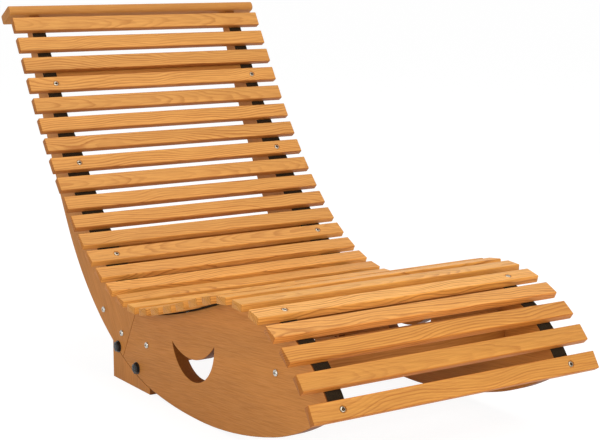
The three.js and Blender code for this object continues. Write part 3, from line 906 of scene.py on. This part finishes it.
def map_weave(piece, steps):
    """Brings the strip to the strap's width and maps how far along and across each point lies."""
    mesh = piece.data
    centre = (steps[0][2] + steps[0][3]) / 2
    by_place = {tuple(round(v, 5) for v in step[1].yz): step for step in steps}
    stations = {}
    for vertex in mesh.vertices:
        nearest = min(by_place, key=lambda key: (Vector(key) - vertex.co.yz).length)
        station, _, low, high = by_place[nearest]
        vertex.co.x = low if vertex.co.x < centre else high
        stations[vertex.index] = station
    weave = mesh.uv_layers.new(name="weave")
    for loop in mesh.loops:
        across = mesh.vertices[loop.vertex_index].co.x - centre
        weave.data[loop.index].uv = (stations[loop.vertex_index], across)


def face_the_slats(piece):
    """Turns the faces of the strip towards the slats."""
    mesh = piece.data
    towards = slat_middles[0] - mesh.polygons[0].center
    edit(piece)
    bpy.ops.mesh.select_all(action="SELECT")
    bpy.ops.mesh.normals_make_consistent(inside=False)
    bpy.ops.object.mode_set(mode="OBJECT")
    if mesh.polygons[0].normal.dot(towards) < 0:
        bpy.ops.object.mode_set(mode="EDIT")
        bpy.ops.mesh.flip_normals()
        bpy.ops.object.mode_set(mode="OBJECT")


def woven_strap(side):
    """A mapped strip with the strap's thickness and softened edges."""
    piece = pushed_strip(f"woven_strap_{side}", sections[side])
    map_weave(piece, sections[side])
    face_the_slats(piece)
    wall = piece.modifiers.new("thickness", "SOLIDIFY")
    wall.thickness = STRAP_THICKNESS
    wall.offset = -1
    bpy.ops.object.modifier_apply(modifier=wall.name)
    edge = piece.modifiers.new("selvedge", "BEVEL")
    edge.width = STRAP_EDGE
    edge.segments = 2
    edge.limit_method = "ANGLE"
    edge.angle_limit = math.radians(60)
    bpy.ops.object.modifier_apply(modifier=edge.name)
    return smooth(piece, 35)

# %% [markdown]
# ## The weave
#
# The real straps are black webbing: ribs across, held by pairs of slanting yarns. Their warm brown,
# lightest on the high points, is a painted sheen of the warm light round them. Real threads would need
# thousands of faces that lie in shade. So the weave is a pattern on the strap's own map, in its colour
# and in its bump.

# %% Webbing
YARN_PITCH = 2.6 * MM
STITCH_PITCH = 1.7 * MM


def webbing():
    """Black webbing: thick ribs across the strap, stitched by pairs of slanting yarns."""
    tree = Tree(bpy.data.materials.new("black_webbing"))
    weave = tree.add("UVMap", uv_map="weave").outputs[0]
    along, across, _ = tree.add("SeparateXYZ", {0: weave}).outputs
    columns = tree.math("DIVIDE", across, YARN_PITCH)
    column = tree.math("ABSOLUTE", tree.math("SUBTRACT", tree.math("FRACT", columns), 0.5))
    slant = tree.math("MULTIPLY_ADD", column, 1.4, tree.math("DIVIDE", along, STITCH_PITCH))
    knot = tree.math("ABSOLUTE", tree.math("SUBTRACT", tree.math("FRACT", slant), 0.5))
    stitch = tree.between(knot, 0.06, 0.4)
    groove = tree.between(column, 0.36, 0.5, 1.0, 0.0)
    height = tree.math("MULTIPLY", stitch, groove)
    fuzz = tree.noise(tree.add("TexCoord").outputs["Object"], 1800.0, 2.0)
    # Painted sheen: warm brown, lighter on the raised yarns.
    shade = tree.mix(height, colour(16, 12, 8), colour(74, 60, 42))
    shade = tree.mix(tree.between(fuzz, 0.3, 0.7, 0, 0.4), shade, colour(38, 29, 19))
    bump = tree.add("Bump", {"Height": height, "Strength": 0.7, "Distance": 0.0005}).outputs[0]
    tree.into_shader({"Base Color": shade, "Normal": bump, "Specular IOR Level": 0.06,
                      "Roughness": tree.between(fuzz, 0.3, 0.7, 0.75, 0.92)})
    return tree.owner


WEBBING = webbing()
for side in SIDES:
    strap = woven_strap(side)
    finish_piece(strap, WEBBING, "webbing", f"strap_{side}")
    print(strap.name, "faces:", len(strap.data.polygons))

# %% [markdown]
# ## Bolts and caps
#
# Bright button-head bolts hold the boards to the plates and rails. They have the screws' shape at
# a larger size, so the same helper makes them. The four foot bolts wear black moulded caps: a
# round flange with a six-sided domed body on it. Each is made once and copied to the middle of
# its measured bolt, turned a little further each time, as hands leave them.

# %% Bolt and cap
BOLT_RADIUS = 6.2 * MM
BOLT_RIM = 0.8 * MM
BOLT_HEIGHT = 3.8 * MM
BOLT_SOCKET = 1.9 * MM
BOLT_SOCKET_DEPTH = 1.6 * MM
CAP_FLANGE_RADIUS = 12 * MM
CAP_FLANGE = 1.6 * MM
CAP_BODY_RADIUS = 11.2 * MM
CAP_BODY_HEIGHT = 7.6 * MM
CAP_RIM_SHARE = 0.6
CAP_WALL_SHARE = 0.55
CAP_DOME = ((0.6 * MM, 0.2), (1.0 * MM, 0.13), (1.6 * MM, 0.09), (2.2 * MM, 0.03))
bolt_master = socket_head("bolt_master", BOLT_RADIUS, BOLT_RIM, BOLT_HEIGHT, BOLT_SOCKET,
                          BOLT_SOCKET_DEPTH)


def hex_cap(name):
    """A moulded cap: a flange, then a six-sided body whose dome is inset and lifted in steps."""
    rim = CAP_FLANGE * CAP_RIM_SHARE
    piece = domed_blank(name, CAP_FLANGE_RADIUS, rim, CAP_FLANGE, CAP_BODY_RADIUS, 2)
    edit(piece, "FACE")
    pick_faces(piece, lambda c, n: c.z > CAP_FLANGE - HAIR and n.z > 0.9 and c.xy.length < HAIR)
    bpy.ops.object.mode_set(mode="OBJECT")
    six_sided(piece, CAP_FLANGE, CAP_BODY_RADIUS)
    bpy.ops.object.mode_set(mode="EDIT")
    rise = CAP_BODY_HEIGHT - CAP_FLANGE
    wall = (0, 0, rise * CAP_WALL_SHARE)
    bpy.ops.mesh.extrude_region_move(TRANSFORM_OT_translate={"value": wall})
    for inset, lift_share in CAP_DOME:
        lift_top(inset, rise * lift_share)
    bpy.ops.object.mode_set(mode="OBJECT")
    return smooth(piece, 35)


cap_master = hex_cap("cap_master")
print("cap is", round(cap_master.dimensions.z / MM, 1), "mm tall")

# %% Bolts and caps into place
HEAD_TURN = 0.8
for side, sign in SIDES.items():
    outwards = Matrix.Rotation(sign * math.pi / 2, 4, "Y")
    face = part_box(f"rocker_board_{side}")[0 if sign < 0 else 1].x
    for number, name in enumerate(name for name in FASTENERS if name.endswith(side)):
        bolt = "bolt" in name
        spot = middle(name)
        spot.x = face + sign * HEAD_GAP
        place = Matrix.Translation(spot) @ outwards @ Matrix.Rotation(HEAD_TURN * number, 4, "Z")
        piece = copy_at(bolt_master if bolt else cap_master, f"head_{name}", place)
        look, slot = (BOLT_STEEL, "bright_steel") if bolt else (BLACK, "black_cap")
        finish_piece(piece, look, slot, name)
bpy.data.objects.remove(bolt_master)
bpy.data.objects.remove(cap_master)
print("bolts and caps placed:", len(FASTENERS))

# %% [markdown]
# ## Floor, light and background
#
# The picture's background is plain white. The floor is pale, and to the camera it also glows
# enough to end up white where no shadow falls. The lights don't have to be any brighter for
# that. The photograph's light is soft, with a clear bright side. So an even sky is joined by
# four wide lamps: from the front, from low in front, from above, and from the left.

# %% Stage
SHOWN_GLOW = 0.9
SHOWN_SHARE = 0.2
FLOOR_WIDTH = 60
FLOOR_MIDDLE = (0, 10, 0)
bpy.ops.object.select_all(action="DESELECT")
bpy.ops.mesh.primitive_plane_add(size=FLOOR_WIDTH, location=FLOOR_MIDDLE)
floor = named("floor")
bpy.ops.object.transform_apply(location=True)


def seen_rays(tree):
    """One for rays from the camera or by way of a reflection."""
    path = tree.add("LightPath").outputs
    direct = tree.math("MAXIMUM", path["Is Camera Ray"], path["Is Glossy Ray"])
    return tree.math("MAXIMUM", direct, path["Is Transmission Ray"])


def pale_floor():
    """A pale floor that keeps shadows, and that also glows where the camera sees it."""
    tree = Tree(bpy.data.materials.new("pale_floor"))
    spot = tree.add("TexCoord").outputs["Object"]
    speck = tree.noise(spot, 6.0, 2.0)
    plain = tree.add("BsdfDiffuse", {0: tree.mix(speck, (0.8, 0.8, 0.8, 1), (0.82, 0.82, 0.82, 1))})
    dim = tree.add("BsdfDiffuse", {0: (SHOWN_SHARE, SHOWN_SHARE, SHOWN_SHARE, 1)})
    glow = tree.add("Emission", {0: (1, 1, 1, 1), 1: SHOWN_GLOW})
    shown = tree.add("AddShader", {0: dim.outputs[0], 1: glow.outputs[0]})
    both = tree.add("MixShader", {0: seen_rays(tree), 1: plain.outputs[0], 2: shown.outputs[0]})
    end = tree.nodes["Material Output"]
    tree.links.new(both.outputs[0], end.inputs["Surface"])
    tree.nodes.remove(tree.nodes["Principled BSDF"])
    return tree.owner


floor.data.materials.append(pale_floor())
floor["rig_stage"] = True
print("floor is", round(floor.dimensions.x), "m wide")

# %% Sky and lamps
SKY = 0.47
world = bpy.data.worlds.new("studio")
bpy.context.scene.world = world
sky = Tree(world)
strength = sky.add("MapRange", {0: seen_rays(sky), "To Min": SKY, "To Max": 1.0}).outputs[0]
sky.feed(sky.nodes["Background"].inputs["Strength"], strength)
sky.feed(sky.nodes["Background"].inputs["Color"], (1, 1, 1, 1))

LAMP_TARGET = (0, 0, 0.3)
LAMPS = {
    "front_lamp": ((0.6, -3.0, 2.9), 1.8, 42), "low_lamp": ((0.2, -4.0, 0.35), 1.0, 20),
    "top_lamp": ((0.3, 0.5, 4.2), 2.4, 54), "side_lamp": ((-3.2, -2.5, 1.3), 1.4, 48),
}


def lamp(name, place, size, power):
    """A square lamp at a place, so many metres wide and watts strong, that faces the lounger."""
    data = bpy.data.lights.new(name, "AREA")
    data.shape = "SQUARE"
    data.size = size
    data.energy = power
    light = bpy.data.objects.new(name, data)
    bpy.context.scene.collection.objects.link(light)
    light.location = place
    aim = Vector(LAMP_TARGET) - Vector(place)
    light.rotation_euler = aim.to_track_quat("-Z", "Y").to_euler()


for name, (place, size, power) in LAMPS.items():
    lamp(name, place, size, power)

# %% [markdown]
#
# The measured box and the dressed box are printed side by side. The dressed lounger has to stay
# within the measured size.

# %% Sizes
dressed_box = [list(corner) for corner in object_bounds()]
for title, (low, high) in (("measured", measured_box), ("dressed", dressed_box)):
    print(title, [round(b - a, 4) for a, b in zip(low, high)])
